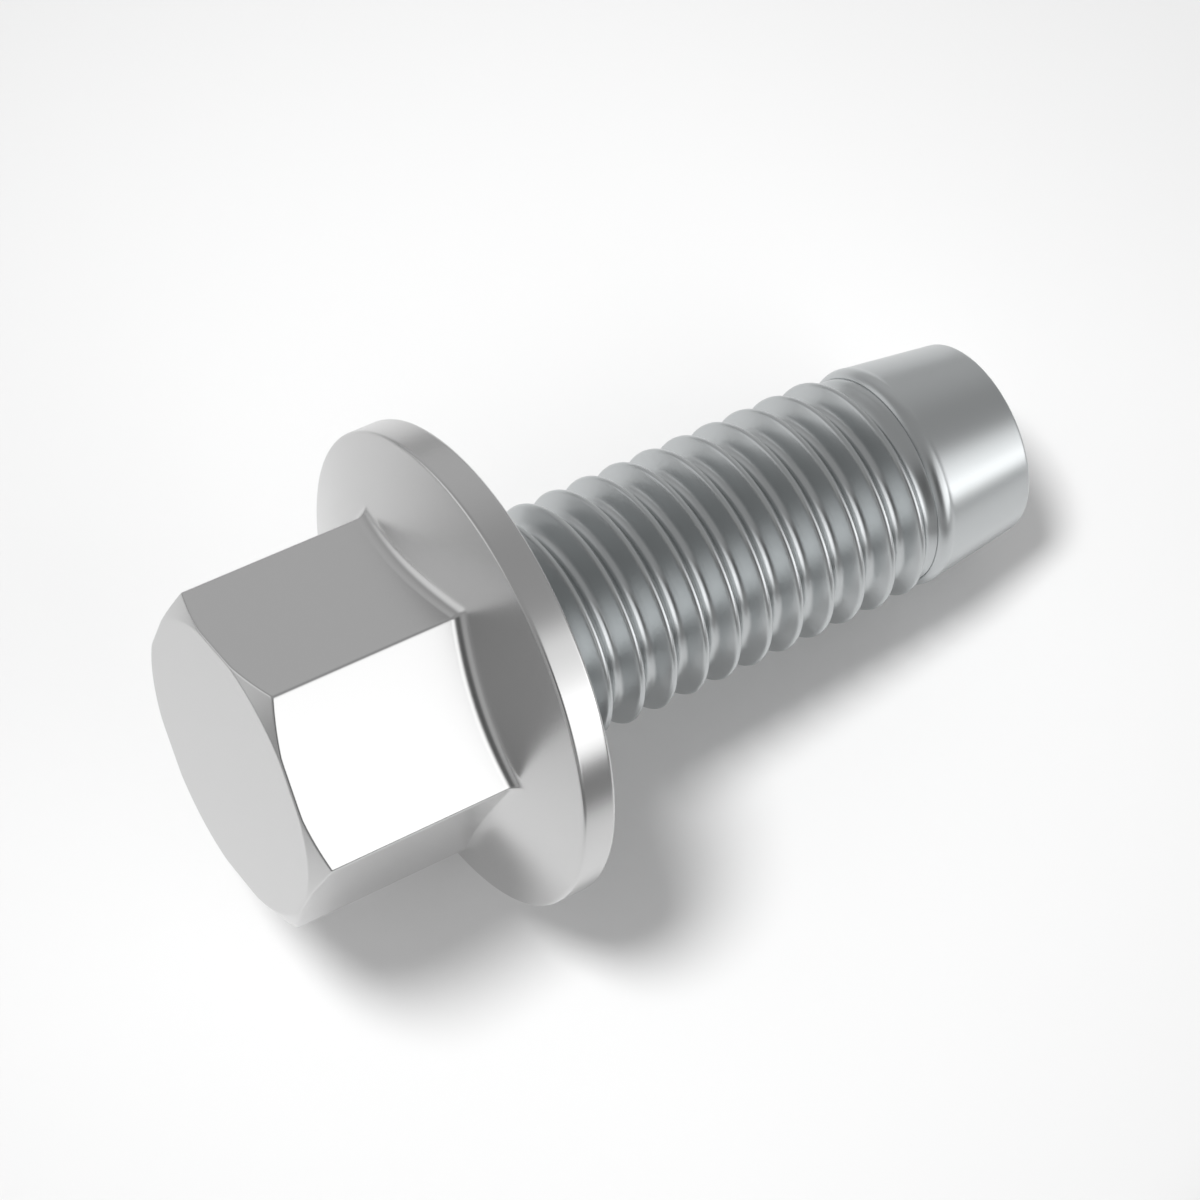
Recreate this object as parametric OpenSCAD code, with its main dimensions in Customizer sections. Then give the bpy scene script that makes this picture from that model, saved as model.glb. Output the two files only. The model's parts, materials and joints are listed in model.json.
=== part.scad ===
// Thread-forming screw with a hexagon washer head, cold formed from one piece of steel wire.
// It lies on a flat surface as it comes to rest: on the rim of its flange and the end of its point.
// X runs along the screw from head to point, Z is up, and the origin is the middle of its footprint.

/* [Head] */
// Width across the flats of the hexagon
across_flats = 10; // [9:0.1:12]
// Height of the head, from the bearing face to the end face
head_height = 9.1; // [8:0.1:12]
// Diameter of the flat circle that the chamfer leaves on the end face
end_circle_d = 10.04; // [8.6:0.02:10.4]
// Angle of the chamfer to the end face
chamfer_angle = 30; // [15:1:40]

/* [Flange] */
// Diameter of the flange
flange_d = 16.5; // [15:0.1:20]
// Height of the flange's rim
rim_height = 1.17; // [0.6:0.01:2]
// Angle between the flange's sloping top and its bearing face
flange_slope = 20; // [10:1:26]
// Radius of the fillet between the hexagon and the flange
head_fillet = 0.5; // [0.2:0.05:0.8]
// Rounding of the rim's two edges and of the point's end edge
edge_round = 0.12; // [0.05:0.01:0.25]

/* [Thread] */
// Diameter over the thread's crests
thread_d = 8; // [7.8:0.05:8.4]
// Pitch of the single right-hand thread
pitch = 1.25; // [1:0.05:1.5]
// Radius of the rounded crests
crest_round = 0.13; // [0.08:0.01:0.2]
// Radius of the rounded roots
root_round = 0.27; // [0.12:0.01:0.3]
// Diameter of the plain neck that is left at both ends of the thread
neck_d = 7.4; // [7.2:0.05:7.6]
// Length of plain neck under the head
head_neck = 0.3; // [0.1:0.05:1]
// Length over which the thread grows out of the neck under the head
head_run_out = 1.2; // [0.6:0.1:2.5]
// Length over which the thread fades into the neck before the collar
point_run_out = 0.75; // [0.5:0.05:1.5]
// Radius of the fillet between the bearing face and the neck
neck_fillet = 0.4; // [0.2:0.05:0.6]

/* [Point] */
// Length of the screw under the head
length = 20; // [16:0.5:40]
// Length of the unthreaded point, from the collar's shoulder to the end
point_length = 4.13; // [3.5:0.05:5]
// Diameter of the collar
collar_d = 7.89; // [7.8:0.01:8]
// Radius of the collar's rounded bulge
collar_round = 0.45; // [0.35:0.01:0.6]
// Radius of the hollow that leads from the collar to the tapered point
collar_hollow = 1; // [0.5:0.05:1.5]
// Diameter of the point's end, before its edge is rounded
point_d = 6.92; // [6:0.02:7]
// Taper of the point, measured from the axis
point_taper = 7.2; // [5:0.1:9]

/* [Pose] */
// Turn of a corner of the hexagon from the line on which the screw lies
hexagon_turn = 6.65; // [0:0.05:60]
// Height over the bearing face of a thread crest, on the line on which the screw lies
crest_level = 0.49; // [0:0.01:1.5]

/* [Hidden] */
$fn = 96;
steel = [0.74, 0.75, 0.76];

hexagon_r = across_flats / sqrt(3);
end_circle_r = end_circle_d / 2;
flange_r = flange_d / 2;
neck_r = neck_d / 2;
point_r = point_d / 2;

// Parts that join are sunk this far into each other, so that they meet in clean lines
sink = 0.02;
// How deep the shank's ends reach into the head and the point
root_depth = 0.2;
// Turn of the round surfaces' seam from the line on which the screw lies
seam_turn = 93.5;

// Height of the flange's sloping top at a radius, before the fillet: heights run towards the point
function slope_level(r) = -rim_height - (flange_r - r) * tan(flange_slope);

// Thread form: a 60 degree V with round crests and roots
thread_angle = 60;
thread_half = thread_angle / 2;
flank_turn = 90 - thread_half;
sharp_depth = pitch / 2 / tan(thread_half);
core_r = thread_d / 2 - (sharp_depth - crest_round - root_round);
arc_turns = [-flank_turn, -flank_turn / 3, flank_turn / 3, flank_turn];
root_arc = [for (a = arc_turns)
    [root_round * sin(a), core_r + root_round * (1 - cos(a))]];
crest_arc = [for (a = arc_turns)
    [pitch / 2 + crest_round * sin(a), thread_d / 2 - crest_round * (1 - cos(a))]];
// One pitch of the thread as height and radius, from one root to the next
thread_form = concat(root_arc, crest_arc);

collar_level = length - point_length;
thread_top = collar_level - sink;

// Share of the thread's full depth at a height: it fades at both ends
function share(x) = min(1, max(0, x));
function thread_share(z) = min(
    share((z - head_neck) / head_run_out),
    share((thread_top - z) / point_run_out));
function shank_radius(z, form_r) = neck_r + thread_share(z) * (form_r - neck_r);

function wrap(x, size) = x - size * floor(x / size);

// The shank is one surface that winds round the axis, a station every few degrees
turn_facets = 36;
rows = len(thread_form);
lowest = -pitch - root_depth;
first_root = lowest - wrap(lowest - (crest_level - pitch / 2), pitch);
stations = ceil(turn_facets * (collar_level + root_depth - first_root) / pitch);

function shank_point(n, row) =
    let (
        angle = 360 * n / turn_facets,
        z = first_root + pitch * n / turn_facets + thread_form[row][0],
        r = shank_radius(z, thread_form[row][1]))
    [r * cos(angle), r * sin(angle), z];

// Place of a point in the list: the last row of a turn is the first row of the next turn
function shank_index(n, row) =
    row == rows ? shank_index(n + turn_facets, 0)
    : n <= stations ? n * rows + row
    : (stations + 1) * rows + n - stations - 1;

module shank() {
    wound = [for (n = [0:stations], row = [0:rows - 1]) shank_point(n, row)];
    last_turn = [for (n = [stations + 1:stations + turn_facets]) shank_point(n, 0)];
    centres = [
        [0, 0, first_root + pitch / 2],
        [0, 0, first_root + pitch * (stations / turn_facets + 1 / 2)]];
    low_centre = len(wound) + len(last_turn);
    high_centre = low_centre + 1;
    skin = [for (n = [0:stations - 1], row = [0:rows - 1], half = [0, 1])
        half == 0
            ? [shank_index(n, row), shank_index(n, row + 1), shank_index(n + 1, row + 1)]
            : [shank_index(n, row), shank_index(n + 1, row + 1), shank_index(n + 1, row)]];
    low_cap = concat(
        [for (n = [0:turn_facets - 1])
            [low_centre, shank_index(n, 0), shank_index(n + 1, 0)]],
        [for (row = [0:rows - 1])
            [low_centre, shank_index(0, row + 1), shank_index(0, row)]]);
    high_cap = concat(
        [for (n = [stations:stations + turn_facets - 1])
            [high_centre, shank_index(n + 1, 0), shank_index(n, 0)]],
        [for (row = [0:rows - 1])
            [high_centre, shank_index(stations, row), shank_index(stations, row + 1)]]);
    polyhedron(concat(wound, last_turn, centres), concat(skin, low_cap, high_cap));
}

// Hexagon with its end face chamfered
module hexagon() {
    hexagon_end = -rim_height / 2;
    chamfer_drop = (hexagon_r - end_circle_r) * tan(chamfer_angle);
    intersection() {
        rotate([0, 0, hexagon_turn])
            translate([0, 0, -head_height])
                cylinder(h = head_height + hexagon_end, r = hexagon_r, $fn = 6);
        rotate([0, 0, seam_turn]) rotate_extrude()
            polygon([
                [0, -head_height],
                [end_circle_r, -head_height],
                [hexagon_r + 1, -head_height + chamfer_drop + tan(chamfer_angle)],
                [hexagon_r + 1, 0],
                [0, 0]]);
    }
}

// Corner of a turned outline, rounded: points from one direction to another about a centre
function arc(centre, r, from, to, steps) = [for (i = [0:steps])
    let (a = from + (to - from) * i / steps)
    centre + r * [cos(a), sin(a)]];

// Flange with a sloping top, a cylindrical rim and a flat bearing face that a fillet joins to the neck
module flange() {
    e = edge_round;
    top_centre = [flange_r - e, -rim_height + e / cos(flange_slope) - e * tan(flange_slope)];
    inner_r = across_flats / 2 - 4 * sink;
    rotate([0, 0, seam_turn]) rotate_extrude()
        polygon(concat(
            [[0, neck_fillet], [neck_r - sink, neck_fillet]],
            arc([neck_r - sink + neck_fillet, neck_fillet], neck_fillet, 180, 270, 8),
            arc([flange_r - e, -e], e, 90, 0, 5),
            arc(top_centre, e, 0, flange_slope - 90, 4),
            [[inner_r, slope_level(inner_r)], [0, slope_level(inner_r)]]));
}

// Fillet between the six flats and the sloping flange: it follows both, and runs out at the corners
fillet_steps = 5;
face_steps = 8;
function fillet_ring(turn) = [for (i = [0:6 * face_steps - 1])
    let (
        angle = 60 * i / face_steps,
        lean = cos(wrap(angle, 60) - 30),
        d = across_flats / 2 + head_fillet * (1 - sin(turn)) - sink,
        centre_level = slope_level(across_flats / 2 + head_fillet) - head_fillet / cos(flange_slope),
        z = centre_level + head_fillet * cos(turn) + slope_level(d / lean) - slope_level(d) + sink)
    [d / lean * cos(angle), d / lean * sin(angle), z]];

module flange_fillet() {
    first_turn = 90;
    last_turn = flange_slope - 12;
    rings = [for (k = [0:fillet_steps])
        fillet_ring(first_turn + (last_turn - first_turn) * k / fillet_steps)];
    count = 6 * face_steps;
    centres = [[0, 0, rings[0][0][2] - 1], [0, 0, -rim_height / 2]];
    low = count * len(rings);
    points = concat([for (ring = rings, point = ring) point], centres);
    skin = [for (k = [0:fillet_steps - 1], i = [0:count - 1], half = [0, 1])
        let (next = (i + 1) % count)
        half == 0
            ? [k * count + i, (k + 1) * count + i, (k + 1) * count + next]
            : [k * count + i, (k + 1) * count + next, k * count + next]];
    caps = concat(
        [for (i = [0:count - 1]) [low, i, (i + 1) % count]],
        [for (i = [0:count - 1])
            [low + 1, fillet_steps * count + (i + 1) % count, fillet_steps * count + i]]);
    rotate([0, 0, hexagon_turn])
        polyhedron(points, concat(skin, caps));
}

// Collar and tapered point, turned as one outline
module point() {
    taper = [sin(point_taper), -cos(point_taper)];
    outward = [cos(point_taper), sin(point_taper)];
    tip = [point_r, length];
    bulge = [collar_d / 2 - collar_round, collar_level + sqrt(pow(collar_round, 2)
        - pow(neck_r + 2 * sink - collar_d / 2 + collar_round, 2))];
    below = (bulge - tip) * outward;
    along = (bulge - tip) * taper;
    reach = sqrt(pow(collar_round + collar_hollow, 2) - pow(collar_hollow - below, 2));
    hollow = tip + (along - reach) * taper + collar_hollow * outward;
    meet = atan2(hollow[1] - bulge[1], hollow[0] - bulge[0]);
    shoulder = atan2(collar_level - bulge[1], neck_r + 2 * sink - bulge[0]);
    tip_centre = [point_r - edge_round * (1 / cos(point_taper) - tan(point_taper)), length - edge_round];
    buried_r = core_r - root_depth;
    rotate([0, 0, seam_turn]) rotate_extrude()
        polygon(concat(
            [[0, collar_level - root_depth], [buried_r, collar_level - root_depth], [buried_r, collar_level]],
            arc(bulge, collar_round, shoulder, meet, 8),
            arc(hollow, collar_hollow, meet + 180, point_taper + 180, 5),
            arc(tip_centre, edge_round, point_taper, 90, 4),
            [[0, length]]));
}

// The screw standing on its axis, with the point upwards and the bearing face at height 0
module upright_screw() {
    hexagon();
    flange_fillet();
    flange();
    shank();
    point();
}

// The pose: the rounded edges of the rim and of the point's end both touch the surface
tip_centre_r = point_r - edge_round * (1 / cos(point_taper) - tan(point_taper));
lie_angle = atan((flange_r - edge_round - tip_centre_r) / length);
lie_height = (flange_r - edge_round) * cos(lie_angle) + edge_round * (1 - sin(lie_angle));
head_reach = end_circle_r * sin(lie_angle) + head_height * cos(lie_angle);
point_reach = tip_centre_r * sin(lie_angle) + (length - edge_round) * cos(lie_angle) + edge_round;

module screw() {
    color(steel)
        translate([(head_reach - point_reach) / 2, 0, lie_height])
            rotate([0, 90 + lie_angle, 0])
                upright_screw();
}

screw();
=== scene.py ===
"""A cold-formed screw with a hexagon washer head: its steel skin, its finish and a small studio."""
import json
import math
from collections import namedtuple

import bpy
from bpy.props import FloatProperty, FloatVectorProperty, PointerProperty
from bpy.types import Operator, Panel, PropertyGroup
from mathutils import Matrix, Vector


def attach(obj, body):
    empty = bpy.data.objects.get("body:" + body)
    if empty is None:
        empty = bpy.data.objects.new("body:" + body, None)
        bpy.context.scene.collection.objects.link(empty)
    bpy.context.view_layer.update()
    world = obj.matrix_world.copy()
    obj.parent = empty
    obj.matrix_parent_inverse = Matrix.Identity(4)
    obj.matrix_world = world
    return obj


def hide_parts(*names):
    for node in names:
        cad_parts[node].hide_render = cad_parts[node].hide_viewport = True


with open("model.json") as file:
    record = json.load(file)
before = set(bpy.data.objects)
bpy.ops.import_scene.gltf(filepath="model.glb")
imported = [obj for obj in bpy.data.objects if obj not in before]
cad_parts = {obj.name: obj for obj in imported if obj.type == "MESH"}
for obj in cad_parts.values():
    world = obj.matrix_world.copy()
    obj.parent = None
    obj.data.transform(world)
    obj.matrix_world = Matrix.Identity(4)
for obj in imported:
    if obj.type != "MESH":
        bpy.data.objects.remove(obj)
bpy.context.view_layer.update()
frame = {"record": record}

bl_info = {
    "name": "Hexagon washer head screw",
    "version": (1, 0, 0),
    "blender": (4, 5, 0),
    "location": "3D View > Sidebar > Screw",
    "description": "Models a cold-formed screw with a hexagon washer head and a small studio for it",
    "category": "Add Mesh",
}

MOUNTS = {mount["name"]: mount for mount in frame["record"]["mounts"]}
MM = 0.001

# Round surfaces have this many columns of faces, 30 to each flat of the hexagon
COLUMNS = 180
FLATS = 6
COLUMNS_PER_HALF_FLAT = COLUMNS // FLATS // 2
HALF_FLAT = math.pi / FLATS
# Columns round one half of a long edge's rounding, and the turn from there to the next column
COLUMNS_PER_HALF_ROUND = 3
NEXT_COLUMN = math.radians(0.3)
# Above 1, the other columns lie closer together near the corner than in the middle of the flat
GATHERING = 1.6

# A support row lies this far from where a flat stretch turns into an arc, so that flats shade flat
SUPPORT = 0.03 * MM
# On a short stretch it lies no farther away than this share of it
LARGEST_SUPPORT_SHARE = 0.3
# Points closer than this are the same point
WELD = 0.0008 * MM
# Edges between faces that meet at a larger angle than this stay sharp in the shading
SMOOTH_ANGLE = math.radians(35)

# Steps of the arcs, from the end face to the end of the point
END_EDGE_STEPS = 3
SIDE_EDGE_STEPS = 5
FILLET_STEPS = 10
RIM_FRONT_STEPS = 4
RIM_BACK_STEPS = 5
NECK_FILLET_STEPS = 6
THREAD_ARC_STEPS = 6
BULGE_STEPS = 14
HOLLOW_STEPS = 10
POINT_EDGE_STEPS = 6

# Rows across the straight stretches, as shares of the way along them
SIDE_ROWS = (1 / 3, 2 / 3)
SLOPE_ROWS = (0.02, 0.12, 0.25, 0.4, 0.55, 0.7, 0.85, 0.985)
BEARING_ROWS = (0.5,)
FLANK_ROWS = (0.12, 0.5, 0.88)
CONE_ROWS = (0.2, 0.4, 0.6, 0.8)

# The coat changes between these distances from the end face, under the flange where the neck begins; there
# the colour turns to the shank's, which carries painted shade and a painted cool reflection
HEAD_COAT_END = 9.0 * MM
SHANK_COAT_START = 9.3 * MM

# Sockets of a Mix node that carry its two colours and its result
MIX_FIRST = 6
MIX_SECOND = 7
MIX_RESULT = 2

# A soft place of the surround, in degrees: full inside its inner radius and gone outside its outer one
SoftPlace = namedtuple("SoftPlace", "azimuth elevation inner outer")
PANEL = SoftPlace(-56, 20, 8, 40)
# The other places, each with the brightness that it adds or takes
SURROUND_PLACES = (
    # A darker gap at the panel's upper edge and a bright strip at its lower edge
    (SoftPlace(-49, 35, 2, 13), -0.7),
    (SoftPlace(-43, 5, 2, 11), 1.2),
    # A darker place in front, below the camera
    (SoftPlace(-112, 38, 8, 30), -0.3),
    # Glows behind the point, behind the head and in front of the end face
    (SoftPlace(65, 5, 5, 55), 0.19),
    (SoftPlace(143, 13, 6, 32), 0.6),
    (SoftPlace(-152, 18, 5, 25), 0.15),
)

# The paper fades to grey along this azimuth, between these distances from the middle of the screw
FADE_AZIMUTH = -75
FADE_START = 25 * MM
FADE_END = 38 * MM
FLOOR_SIZE = 2

# The lamp's distance from its aim, its azimuth and elevation in degrees, and its radius
LAMP_DISTANCE = 0.3
LAMP_DIRECTION = (146, 74)
LAMP_AIM = Vector((-1, 0, 0)) * MM
LAMP_RADIUS = 0.045
# Share of the lamp's pool over which its edge is soft
POOL_EDGE = 0.35

CAMERA_PLACE = Vector((-22.333, -36.887, 113.005)) * MM
CAMERA_AIM = Vector((-0.5933, -0.2566, 7.7881)) * MM
CAMERA_CLIP_START = 1 * MM
# Width of the camera's sensor in millimetres
SENSOR = 36.0


def length(name, description, default):
    return FloatProperty(
        name=name, description=description, default=default, min=0, precision=5,
        unit="LENGTH", subtype="DISTANCE")


def angle(name, description, degrees):
    return FloatProperty(
        name=name, description=description, default=math.radians(degrees), unit="ROTATION", subtype="ANGLE")


def share(name, description, default):
    return FloatProperty(
        name=name, description=description, default=default, min=0, max=1, subtype="FACTOR")


def level(name, description, default):
    return FloatProperty(name=name, description=description, default=default, min=0)


def linear(value):
    """A linear value from an sRGB one."""
    return value / 12.92 if value <= 0.04045 else ((value + 0.055) / 1.055) ** 2.4


def from_hex(code):
    """An sRGB hex colour as linear red, green and blue."""
    return tuple(linear(int(code[i:i + 2], 16) / 255) for i in (1, 3, 5))


def colour(name, description, code):
    return FloatVectorProperty(
        name=name, description=description, default=from_hex(code), min=0, max=1, size=3, subtype="COLOR")


class HeadSizes(PropertyGroup):
    across_flats: length("Across flats", "Width of the hexagon across its flats", 10 * MM)
    height: length("Height", "From the bearing face to the end face", 9.1 * MM)
    end_circle: length("End circle", "Diameter of the flat circle that the chamfer leaves", 10.04 * MM)
    chamfer: angle("Chamfer", "Angle of the chamfer to the end face", 30)
    corner_round: length("Corner round", "Radius of the hexagon's six long edges", 0.13 * MM)
    edge_round: length("Edge round", "Radius of the edges round the end face", 0.1 * MM)
    turn: angle("Turn", "Turn of a corner of the hexagon from the line on which the screw lies", 6.65)


class FlangeSizes(PropertyGroup):
    diameter: length("Diameter", "Diameter of the flange", 16.5 * MM)
    rim: length("Rim", "Height of the flange's rim", 1.17 * MM)
    slope: angle("Slope", "Angle between the flange's sloping top and its bearing face", 20)
    fillet: length("Fillet", "Radius between the hexagon and the flange", 0.5 * MM)
    rim_round: length("Rim round", "Radius of the rim's two edges", 0.12 * MM)


class ThreadSizes(PropertyGroup):
    diameter: length("Diameter", "Diameter over the crests", 8 * MM)
    pitch: length("Pitch", "Rise of the single right-hand thread in one turn", 1.25 * MM)
    half_angle: angle("Half angle", "Half the angle between the flanks", 30)
    crest_round: length("Crest round", "Radius of the rounded crests", 0.13 * MM)
    root_round: length("Root round", "Radius of the rounded roots", 0.27 * MM)
    neck: length("Neck", "Diameter of the plain neck at both ends", 7.4 * MM)
    neck_fillet: length("Neck fillet", "Radius between the bearing face and the neck", 0.4 * MM)
    run_in: length("Run-in", "Height at which the thread is full under the head", 1.5 * MM)
    run_out: length("Run-out", "Length over which the thread fades before the collar", 0.75 * MM)
    crest_level: length("Crest level", "Height of a crest on the line on which the screw lies", 0.49 * MM)


class PointSizes(PropertyGroup):
    end: length("End", "Length of the screw under the head", 20 * MM)
    height: length("Height", "From the collar's shoulder to the end", 4.13 * MM)
    collar: length("Collar", "Diameter of the collar", 7.89 * MM)
    collar_round: length("Collar round", "Radius of the collar's bulge", 0.45 * MM)
    hollow: length("Hollow", "Radius of the hollow behind the collar", 1 * MM)
    diameter: length("Diameter", "Diameter of the end before its edge is rounded", 6.92 * MM)
    taper: angle("Taper", "Taper of the point, measured from the axis", 7.2)
    edge_round: length("Edge round", "Radius of the end's edge", 0.12 * MM)
    seam: length("Seam", "Height of the step from the neck to the collar", 0.04 * MM)


class FinishLooks(PropertyGroup):
    steel: colour("Steel", "Colour of the bright zinc coat", "#CBCBCB")
    # The shank's colour is darker and cooler than the steel's. This is partly the rolled coat's own duller
    # tone, and partly painted shade of the thread's grooves, spread over the whole shank, with a painted
    # cool reflection.
    shank: colour("Shank", "Colour of the coat on the rolled shank", "#BEC1C2")
    roughness: share("Roughness", "Roughness of the coat on the head", 0.24)
    shank_roughness: share("Shank roughness", "Roughness of the coat on the shank", 0.3)


class StudioLooks(PropertyGroup):
    floor: colour("Floor", "Colour of the paper round the screw", "#E9E9E9")
    floor_edge: colour("Floor edge", "Colour that the paper fades to in front of the view", "#8E8E8E")
    surround: level("Surround", "Brightness of the studio overhead", 0.41)
    panel: level("Panel", "Brightness of the soft panel beside the head", 1.58)
    lamp: level("Lamp", "Power of the lamp over the floor, in watts", 2.8)
    pool: length("Pool", "Radius of the floor that the lamp lights", 62 * MM)
    lens: FloatProperty(name="Lens", description="Focal length in millimetres", default=104.538, min=1)


def rounded(centre, radius, first, last, steps):
    """Points of an arc in the plane of an outline, turned from one angle to another."""
    turns = [first + (last - first) * i / steps for i in range(steps + 1)]
    return [(centre[0] + radius * math.cos(t), centre[1] + radius * math.sin(t)) for t in turns]


def between(start, end, way):
    """The point at a share of the way from one point to another."""
    return tuple(a + (b - a) * way for a, b in zip(start, end))


def supported(start, end, rows=()):
    """Points on a straight stretch: a support close to each end, and rows between the two."""
    reach = math.dist(start, end)
    step = min(SUPPORT / reach, LARGEST_SUPPORT_SHARE) if reach > WELD else 0
    first = between(start, end, step)
    last = between(start, end, 1 - step)
    return [first] + [between(first, last, way) for way in rows] + [last]


def nearest_corner(turn):
    """The angle round the axis of the hexagon's corner that is nearest to an angle."""
    return round(turn / (2 * HALF_FLAT)) * 2 * HALF_FLAT


def select_only(first, *others):
    """Selects these objects alone and makes the first one active."""
    bpy.ops.object.select_all(action="DESELECT")
    for chosen in (first, *others):
        chosen.select_set(True)
    bpy.context.view_layer.objects.active = first


def edit_all():
    """Opens the active mesh for editing, with all of it selected."""
    bpy.ops.object.mode_set(mode="EDIT")
    bpy.ops.mesh.select_all(action="SELECT")


def merge_close_points():
    """Merges the points of the opened mesh that are the same point."""
    bpy.ops.mesh.select_all(action="SELECT")
    bpy.ops.mesh.remove_doubles(threshold=WELD)


def draw_outline(name, points):
    """Draws an outline in the XZ plane as a wire: a plane merged to one point and extruded on from there."""
    first = Vector((points[0][0], 0, points[0][1]))
    bpy.ops.mesh.primitive_plane_add(size=MM, location=first)
    wire = bpy.context.active_object
    wire.name = name
    bpy.ops.object.transform_apply(location=True, rotation=True, scale=True)
    edit_all()
    bpy.ops.mesh.merge(type="CENTER")
    for start, end in zip(points, points[1:]):
        step = (end[0] - start[0], 0, end[1] - start[1])
        bpy.ops.mesh.extrude_region_move(TRANSFORM_OT_translate={"value": step})
    bpy.ops.object.mode_set(mode="OBJECT")
    return wire


def turn_on_axis(name, points):
    """Turns an outline into a round skin and closes its poles."""
    skin = draw_outline(name, points)
    edit_all()
    bpy.ops.mesh.spin(steps=COLUMNS, angle=math.tau, center=(0, 0, 0), axis=(0, 0, 1))
    merge_close_points()
    bpy.ops.object.mode_set(mode="OBJECT")
    return skin


class HeadForm:
    """The form of the head: for each angle round the axis, the outline from the end face to the neck."""

    def __init__(self, head, flange, thread):
        self.head, self.flange, self.thread = head, flange, thread
        self.apothem = head.across_flats / 2
        self.rim_radius = flange.diameter / 2

    def slope_level(self, radius):
        """Height of the flange's sloping top."""
        return -self.flange.rim - (self.rim_radius - radius) * math.tan(self.flange.slope)

    def corner_centre(self, apothem):
        """Radius at which a corner's rounding has its centre."""
        return (apothem - self.head.corner_round) / math.cos(HALF_FLAT)

    def round_end(self, apothem):
        """Where the rounding of a corner ends, as an angle from the corner."""
        corner_round = self.head.corner_round
        return math.atan2(
            corner_round * math.sin(HALF_FLAT),
            self.corner_centre(apothem) + corner_round * math.cos(HALF_FLAT))

    def hexagon_radius(self, apothem, from_corner):
        """Radius of a hexagon with rounded corners, at an angle from a corner."""
        if from_corner >= self.round_end(apothem):
            return apothem / math.cos(HALF_FLAT - from_corner)
        centre = self.corner_centre(apothem)
        across = centre * math.sin(from_corner)
        return centre * math.cos(from_corner) + math.sqrt(self.head.corner_round ** 2 - across ** 2)

    def gathered(self, turn):
        """Moves a column towards the nearest corner, so that some columns go round the rounded edge."""
        corner = nearest_corner(turn)
        step = round(abs(turn - corner) / HALF_FLAT * COLUMNS_PER_HALF_FLAT)
        round_end = self.round_end(self.apothem)
        if step <= COLUMNS_PER_HALF_ROUND:
            offset = round_end * step / COLUMNS_PER_HALF_ROUND
        else:
            first = COLUMNS_PER_HALF_ROUND + 1
            way = (step - first) / (COLUMNS_PER_HALF_FLAT - first)
            flat_start = round_end + NEXT_COLUMN
            offset = flat_start + (HALF_FLAT - flat_start) * way ** GATHERING
        return corner + math.copysign(offset, turn - corner)

    def end_section(self, side):
        """The end face, the chamfer and the side's edge, with a ball's roundings between them."""
        top = -self.head.height
        ball = self.head.edge_round
        chamfer = self.head.chamfer
        end_radius = self.head.end_circle / 2
        inner = (end_radius - ball * math.tan(chamfer / 2), top + ball)
        drop = (ball + math.sin(chamfer) * (side - ball - end_radius)) / math.cos(chamfer)
        outer = (side - ball, top + drop)
        if inner[0] >= outer[0]:
            inner = outer = (side - ball, top + ball)
        end_edge = rounded(inner, ball, -math.pi / 2, chamfer - math.pi / 2, END_EDGE_STEPS)
        side_edge = rounded(outer, ball, chamfer - math.pi / 2, 0, SIDE_EDGE_STEPS)
        end_face = [(0, top), (inner[0] / 2, top), (inner[0] - SUPPORT, top)]
        return end_face + end_edge + supported(end_edge[-1], side_edge[0]) + side_edge

    def fillet_section(self, from_corner):
        """The fillet that runs out of the hexagon's side along the flange."""
        fillet, slope = self.flange.fillet, self.flange.slope
        centre_level = self.slope_level(self.apothem + fillet) - fillet / math.cos(slope)
        section = []
        for i in range(FILLET_STEPS + 1):
            bend = math.pi / 2 + (slope - math.pi / 2) * i / FILLET_STEPS
            apothem = self.apothem + fillet * (1 - math.sin(bend))
            radius = self.hexagon_radius(apothem, from_corner)
            height = centre_level + fillet * math.cos(bend)
            section.append((radius, height + self.slope_level(radius) - self.slope_level(apothem)))
        return section

    def slope_rows(self, pressed, turn, edge_radius):
        """The sloping top: its rows turn from a hexagon to a circle, and its columns spread evenly."""
        apothem = self.apothem + self.flange.fillet * (1 - math.sin(self.flange.slope))
        rows = []
        for way in SLOPE_ROWS:
            row_turn = pressed + (turn - pressed) * way
            hexagon = self.hexagon_radius(apothem, abs(row_turn - nearest_corner(row_turn)))
            radius = hexagon + (edge_radius - hexagon) * way
            rows.append((row_turn, radius, self.slope_level(radius)))
        return rows

    def front_edge(self):
        """The rounded edge between the sloping top and the rim."""
        edge, slope = self.flange.rim_round, self.flange.slope
        centre = (self.rim_radius - edge, edge / math.cos(slope) - edge * math.tan(slope) - self.flange.rim)
        return rounded(centre, edge, slope - math.pi / 2, 0, RIM_FRONT_STEPS)

    def base_section(self, front_edge):
        """The rim, the bearing face and the fillet to the neck."""
        edge, fillet = self.flange.rim_round, self.thread.neck_fillet
        back_edge = rounded((self.rim_radius - edge, -edge), edge, 0, math.pi / 2, RIM_BACK_STEPS)
        centre = (self.thread.neck / 2 + fillet, fillet)
        neck_fillet = rounded(centre, fillet, -math.pi / 2, -math.pi, NECK_FILLET_STEPS)
        rim = front_edge + supported(front_edge[-1], back_edge[0]) + back_edge
        return rim + supported(back_edge[-1], neck_fillet[0], BEARING_ROWS) + neck_fillet

    def rows(self, turn):
        """The outline at an angle round the axis, as rows of angle, radius and height."""
        pressed = self.gathered(turn)
        from_corner = abs(pressed - nearest_corner(pressed))
        end = self.end_section(self.hexagon_radius(self.apothem, from_corner))
        fillet = self.fillet_section(from_corner)
        hexagon = end + supported(end[-1], fillet[0], SIDE_ROWS) + fillet
        front_edge = self.front_edge()
        rows = [(pressed, radius, height) for radius, height in hexagon]
        rows += self.slope_rows(pressed, turn, front_edge[0][0])
        return rows + [(turn, radius, height) for radius, height in self.base_section(front_edge)]


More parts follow.
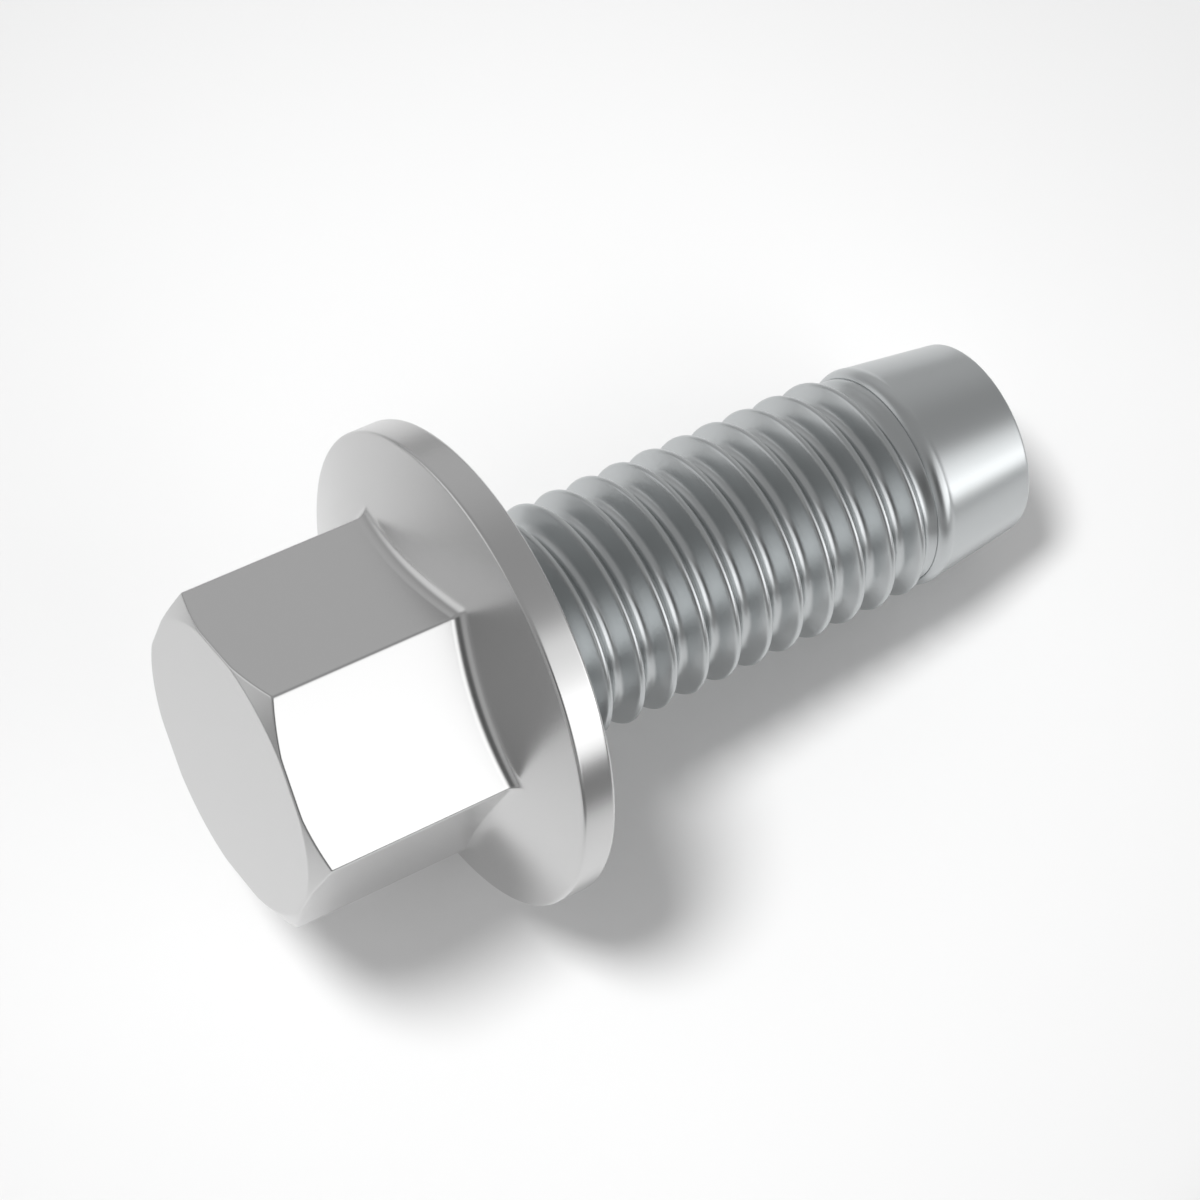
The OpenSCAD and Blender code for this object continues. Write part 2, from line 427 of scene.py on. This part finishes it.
def form_head(form):
    """Turns a round blank and presses it into the hexagon and flange, as the real head is formed cold."""
    blank = [(radius, height) for _, radius, height in form.rows(0)]
    skin = turn_on_axis("head_skin", blank)
    columns = [form.rows(math.tau * i / COLUMNS) for i in range(COLUMNS)]
    for vertex in skin.data.vertices:
        x, y, z = vertex.co
        reach = math.hypot(x, y)
        column = round(math.atan2(y, x) / math.tau * COLUMNS) % COLUMNS if reach > WELD else 0
        row = min(range(len(blank)), key=lambda k: math.dist(blank[k], (reach, z)))
        turn, radius, height = columns[column][row]
        vertex.co = (radius * math.cos(turn), radius * math.sin(turn), height)
    return skin


def thread_form(thread):
    """One pitch of the thread as an outline: a root, a rising flank, a crest and a falling flank."""
    flank = math.pi / 2 - thread.half_angle
    sharp_depth = thread.pitch / 2 / math.tan(thread.half_angle)
    crest = thread.diameter / 2
    root = crest - (sharp_depth - thread.crest_round - thread.root_round)
    bends = [flank * (2 * i / THREAD_ARC_STEPS - 1) for i in range(THREAD_ARC_STEPS + 1)]
    root_arc = [
        (root + thread.root_round * (1 - math.cos(bend)), thread.root_round * math.sin(bend))
        for bend in bends]
    crest_arc = [
        (crest - thread.crest_round * (1 - math.cos(bend)),
         thread.pitch / 2 + thread.crest_round * math.sin(bend))
        for bend in bends]
    next_root = (root_arc[0][0], root_arc[0][1] + thread.pitch)
    rising = [between(root_arc[-1], crest_arc[0], way) for way in FLANK_ROWS]
    falling = [between(crest_arc[-1], next_root, way) for way in FLANK_ROWS]
    return root_arc + rising + crest_arc + falling + [next_root]


def wind_thread(thread, point, hexagon_turn):
    """Winds the thread form round the axis and fades it into the neck at both ends."""
    low, high = thread.neck_fillet, point.end - point.height
    # The wire starts at angle 0, which is a corner of the hexagon
    root_level = thread.crest_level - thread.pitch / 2 + thread.pitch * hexagon_turn / math.tau
    turns_below = math.ceil((root_level + thread.pitch - low) / thread.pitch)
    first_level = root_level - turns_below * thread.pitch
    turns = math.ceil((high - first_level) / thread.pitch) + 1
    form = [(radius, first_level + height) for radius, height in thread_form(thread)]
    skin = draw_outline("thread_skin", form)
    bpy.ops.object.modifier_add(type="SCREW")
    winding = skin.modifiers[-1]
    winding.axis = "Z"
    winding.angle = math.tau
    winding.screw_offset = thread.pitch
    winding.iterations = turns
    winding.steps = winding.render_steps = COLUMNS
    bpy.ops.object.modifier_apply(modifier=winding.name)
    neck = thread.neck / 2
    for vertex in skin.data.vertices:
        x, y, z = vertex.co
        depth = min(1, max(0, (z - low) / (thread.run_in - low)), max(0, (high - z) / thread.run_out))
        reach = math.hypot(x, y)
        scale = (neck + (reach - neck) * depth) / reach
        vertex.co = (x * scale, y * scale, min(high, max(low, z)))
    bpy.ops.object.mode_set(mode="EDIT")
    merge_close_points()
    bpy.ops.object.mode_set(mode="OBJECT")
    return skin


def turn_point(thread, point):
    """Turns the collar and the tapered point: a bulge, a hollow, a cone and a rounded end."""
    start = point.end - point.height
    shoulder = thread.neck / 2 + point.seam
    bulge_radius = point.collar / 2 - point.collar_round
    rise = math.sqrt(point.collar_round ** 2 - (shoulder - bulge_radius) ** 2)
    bulge = Vector((bulge_radius, start + rise))
    tip = Vector((point.diameter / 2, point.end))
    # The hollow touches the bulge and the cone
    along_taper = Vector((math.sin(point.taper), -math.cos(point.taper)))
    outward = Vector((math.cos(point.taper), math.sin(point.taper)))
    below = (bulge - tip).dot(outward)
    along = (bulge - tip).dot(along_taper)
    reach = math.sqrt((point.collar_round + point.hollow) ** 2 - (point.hollow - below) ** 2)
    hollow = tip + along_taper * (along - reach) + outward * point.hollow
    meet = math.atan2(hollow.y - bulge.y, hollow.x - bulge.x)
    first = math.atan2(start - bulge.y, shoulder - bulge.x)
    edge = point.edge_round
    edge_centre = (tip.x - edge * (1 / math.cos(point.taper) - math.tan(point.taper)), tip.y - edge)
    collar = rounded(bulge, point.collar_round, first, meet, BULGE_STEPS)
    dip = rounded(hollow, point.hollow, meet + math.pi, point.taper + math.pi, HOLLOW_STEPS)[1:]
    rounding = rounded(edge_centre, edge, point.taper, math.pi / 2, POINT_EDGE_STEPS)
    cone = supported(dip[-1], rounding[0], CONE_ROWS)
    face_radius = rounding[-1][0]
    end_face = [(face_radius - SUPPORT, point.end), (face_radius / 2, point.end), (0, point.end)]
    outline = [(thread.neck / 2, start)] + collar + dip + cone + rounding + end_face
    return turn_on_axis("point_skin", outline)


def weld(name, skins):
    """Joins skins that meet in equal rings into one closed piece."""
    select_only(*skins)
    bpy.ops.object.join()
    piece = bpy.context.active_object
    piece.name = piece.data.name = name
    bpy.ops.object.mode_set(mode="EDIT")
    merge_close_points()
    bpy.ops.mesh.dissolve_degenerate(threshold=WELD / 4)
    bpy.ops.mesh.select_all(action="SELECT")
    bpy.ops.mesh.normals_make_consistent(inside=False)
    bpy.ops.mesh.select_all(action="DESELECT")
    bpy.ops.mesh.select_non_manifold()
    open_points = piece.data.total_vert_sel
    bpy.ops.object.mode_set(mode="OBJECT")
    if open_points:
        raise RuntimeError(f"{name} isn't closed: {open_points} points lie on open or doubled edges")
    return piece


def lay_down(piece, head):
    """Turns the upright piece into the frame's pose, where its end face and its axis are a mount's."""
    end = MOUNTS["head_end"]
    along = -Vector(end["axis"]).normalized()
    bearing_centre = Vector(end["pos_m"]) + along * head.height
    slope = math.atan2(along.x, along.z)
    piece.matrix_world = (
        Matrix.Translation(bearing_centre)
        @ Matrix.Rotation(slope, 4, "Y")
        @ Matrix.Rotation(head.turn, 4, "Z"))
    select_only(piece)
    bpy.ops.object.transform_apply(location=True, rotation=True, scale=True)


def add_node(tree, kind, settings=(), **links):
    """Adds a node, sets its settings and input values, and links its inputs by name."""
    node = tree.nodes.new(kind)
    for key, value in dict(settings).items():
        if hasattr(node, key):
            setattr(node, key, value)
        else:
            node.inputs[key].default_value = value
    for socket, source in links.items():
        tree.links.new(source, node.inputs[socket.replace("_", " ")])
    return node


def reach_along(tree, vector, direction):
    """How far a vector reaches along a direction."""
    dot = add_node(tree, "ShaderNodeVectorMath", {"operation": "DOT_PRODUCT"}, Vector=vector)
    dot.inputs[1].default_value = direction
    return dot.outputs["Value"]


def map_range(tree, value, settings):
    """Maps a value from one range to another."""
    return add_node(tree, "ShaderNodeMapRange", settings, Value=value).outputs["Result"]


def mix_colours(tree, factor, first, second):
    """A colour that goes from the first to the second."""
    mix = add_node(tree, "ShaderNodeMix", {"data_type": "RGBA"}, Factor=factor)
    mix.inputs[MIX_FIRST].default_value = (*first, 1)
    mix.inputs[MIX_SECOND].default_value = (*second, 1)
    return mix.outputs[MIX_RESULT]


def new_material(name):
    """A material, its node tree and its surface shader."""
    material = bpy.data.materials.new(name)
    material.use_nodes = True
    tree = material.node_tree
    return material, tree, tree.nodes["Principled BSDF"]


def zinc_coat(finish):
    """Steel with a thin bright zinc coat: a satin mirror, duller and a little cooler on the shank, whose
    darker, cooler colour is partly the rolled coat's own tone and partly painted shade of the thread's
    grooves and a painted cool reflection.
    """
    # The material carries the shank's painted shade as well as the zinc coat
    material, tree, shader = new_material("bright_zinc_coat_and_shank_shade")
    shader.inputs["Metallic"].default_value = 1
    place = add_node(tree, "ShaderNodeTexCoord").outputs["Object"]
    axis = -Vector(MOUNTS["head_end"]["axis"]).normalized()
    end = Vector(MOUNTS["head_end"]["pos_m"]).dot(axis)
    on_shank = map_range(
        tree, reach_along(tree, place, axis),
        {"From Min": end + HEAD_COAT_END, "From Max": end + SHANK_COAT_START})
    # The shank's colour brings in painted shade and a painted cool reflection, as well as the rolled coat's
    # own tone
    tone = mix_colours(tree, on_shank, finish.steel, finish.shank)
    dullness = map_range(tree, on_shank, {"To Min": finish.roughness, "To Max": finish.shank_roughness})
    tree.links.new(tone, shader.inputs["Base Color"])
    tree.links.new(dullness, shader.inputs["Roughness"])
    return material


def model_screw(settings):
    """The whole screw, one closed piece that stands for the solid of the frame."""
    head, thread, point = settings.head, settings.thread, settings.point
    form = HeadForm(head, settings.flange, thread)
    skins = [form_head(form), wind_thread(thread, point, head.turn), turn_point(thread, point)]
    piece = weld("screw_steel", skins)
    lay_down(piece, head)
    bpy.ops.object.shade_smooth_by_angle(angle=SMOOTH_ANGLE)
    piece.data.materials.append(zinc_coat(settings.finish))
    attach(piece, "root")
    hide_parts("screw")
    return piece


def towards(azimuth, elevation):
    """A direction in the world, from an azimuth and an elevation in degrees."""
    a, e = math.radians(azimuth), math.radians(elevation)
    return Vector((math.cos(a) * math.cos(e), math.sin(a) * math.cos(e), math.sin(e)))


def light_world(studio):
    """The studio round the screw: a mid grey surround with softly brighter and darker places in it."""
    world = bpy.data.worlds.new("studio")
    bpy.context.scene.world = world
    world.use_nodes = True
    tree = world.node_tree
    background = tree.nodes["Background"]
    direction = add_node(tree, "ShaderNodeTexCoord").outputs["Generated"]
    total = None
    for place, brightness in ((PANEL, studio.panel), *SURROUND_PLACES):
        nearness = reach_along(tree, direction, towards(place.azimuth, place.elevation))
        soft = map_range(
            tree, nearness,
            {"interpolation_type": "SMOOTHSTEP", "From Min": math.cos(math.radians(place.outer)),
             "From Max": math.cos(math.radians(place.inner)), "To Max": brightness})
        sum_node = add_node(tree, "ShaderNodeMath", {"operation": "ADD"})
        tree.links.new(soft, sum_node.inputs[0])
        if total is None:
            sum_node.inputs[1].default_value = studio.surround
        else:
            tree.links.new(total, sum_node.inputs[1])
        total = sum_node.outputs["Value"]
    tree.links.new(total, background.inputs["Strength"])
    background.inputs["Color"].default_value = (1, 1, 1, 1)


def matt_paper(studio):
    """Matt paper, white in the view and fading to grey in front of it, where the rim mirrors it."""
    material, tree, shader = new_material("matt_paper")
    shader.inputs["Roughness"].default_value = 1
    shader.inputs["Specular IOR Level"].default_value = 0
    place = add_node(tree, "ShaderNodeTexCoord").outputs["Object"]
    fade = map_range(
        tree, reach_along(tree, place, towards(FADE_AZIMUTH, 0)),
        {"interpolation_type": "SMOOTHSTEP", "From Min": FADE_START, "From Max": FADE_END})
    tone = mix_colours(tree, fade, studio.floor, studio.floor_edge)
    tree.links.new(tone, shader.inputs["Base Color"])
    return material


def lay_floor(studio):
    """The paper on which the screw lies."""
    bpy.ops.mesh.primitive_plane_add(size=FLOOR_SIZE, location=(0, 0, 0))
    floor = bpy.context.active_object
    floor.name = "floor"
    floor.data.materials.append(matt_paper(studio))


def hang_lamp(studio):
    """A soft spot over the floor, which throws the shadow to the front right and isn't mirrored itself."""
    place = LAMP_AIM + towards(*LAMP_DIRECTION) * LAMP_DISTANCE
    bpy.ops.object.light_add(type="SPOT", location=place)
    lamp = bpy.context.active_object
    lamp.name = "floor_lamp"
    lamp.data.energy = studio.lamp
    lamp.data.shadow_soft_size = LAMP_RADIUS
    lamp.data.spot_size = 2 * math.atan(studio.pool / LAMP_DISTANCE)
    lamp.data.spot_blend = POOL_EDGE
    lamp.rotation_euler = (LAMP_AIM - place).to_track_quat("-Z", "Y").to_euler()
    lamp.visible_glossy = False
    lamp.visible_camera = False


def place_camera(studio):
    """The photograph's camera: fitted to the hexagon, the rim and the point, level, with no shift."""
    camera_data = bpy.data.cameras.new("camera")
    camera_data.sensor_fit = "HORIZONTAL"
    camera_data.sensor_width = SENSOR
    camera_data.lens = studio.lens
    camera_data.clip_start = CAMERA_CLIP_START
    camera = bpy.data.objects.new("camera", camera_data)
    camera.location = CAMERA_PLACE
    camera.rotation_euler = (CAMERA_AIM - CAMERA_PLACE).to_track_quat("-Z", "Y").to_euler()
    bpy.context.scene.collection.objects.link(camera)
    bpy.context.scene.camera = camera


def set_up_studio(studio):
    light_world(studio)
    lay_floor(studio)
    hang_lamp(studio)
    place_camera(studio)
    bpy.context.scene.view_settings.view_transform = "Standard"


class ScrewSettings(PropertyGroup):
    head: PointerProperty(type=HeadSizes)
    flange: PointerProperty(type=FlangeSizes)
    thread: PointerProperty(type=ThreadSizes)
    point: PointerProperty(type=PointSizes)
    finish: PointerProperty(type=FinishLooks)
    studio: PointerProperty(type=StudioLooks)


class SCREW_OT_model(Operator):
    """Model the screw as one closed steel piece and give it its finish"""
    bl_idname = "screw.model"
    bl_label = "Model the Screw"

    def execute(self, context):
        model_screw(context.scene.screw_settings)
        return {"FINISHED"}


class SCREW_OT_studio(Operator):
    """Light the surround, lay the floor, hang the lamp and place the camera"""
    bl_idname = "screw.studio"
    bl_label = "Set Up the Studio"

    def execute(self, context):
        set_up_studio(context.scene.screw_settings.studio)
        return {"FINISHED"}


class SCREW_PT_panel(Panel):
    bl_idname = "SCREW_PT_panel"
    bl_label = "Screw"
    bl_space_type = "VIEW_3D"
    bl_region_type = "UI"
    bl_category = "Screw"

    def draw(self, context):
        layout = self.layout
        settings = context.scene.screw_settings
        for group_name in ScrewSettings.__annotations__:
            group = getattr(settings, group_name)
            box = layout.box()
            box.label(text=group_name.capitalize())
            for key in group.__annotations__:
                box.prop(group, key)
        layout.operator(SCREW_OT_model.bl_idname)
        layout.operator(SCREW_OT_studio.bl_idname)


CLASSES = (
    HeadSizes, FlangeSizes, ThreadSizes, PointSizes, FinishLooks, StudioLooks, ScrewSettings,
    SCREW_OT_model, SCREW_OT_studio, SCREW_PT_panel)


def register():
    for cls in CLASSES:
        bpy.utils.register_class(cls)
    bpy.types.Scene.screw_settings = PointerProperty(type=ScrewSettings)


def unregister():
    del bpy.types.Scene.screw_settings
    for cls in reversed(CLASSES):
        bpy.utils.unregister_class(cls)


def main():
    register()
    bpy.ops.screw.model()
    bpy.ops.screw.studio()


if __name__ == "__main__":
    main()
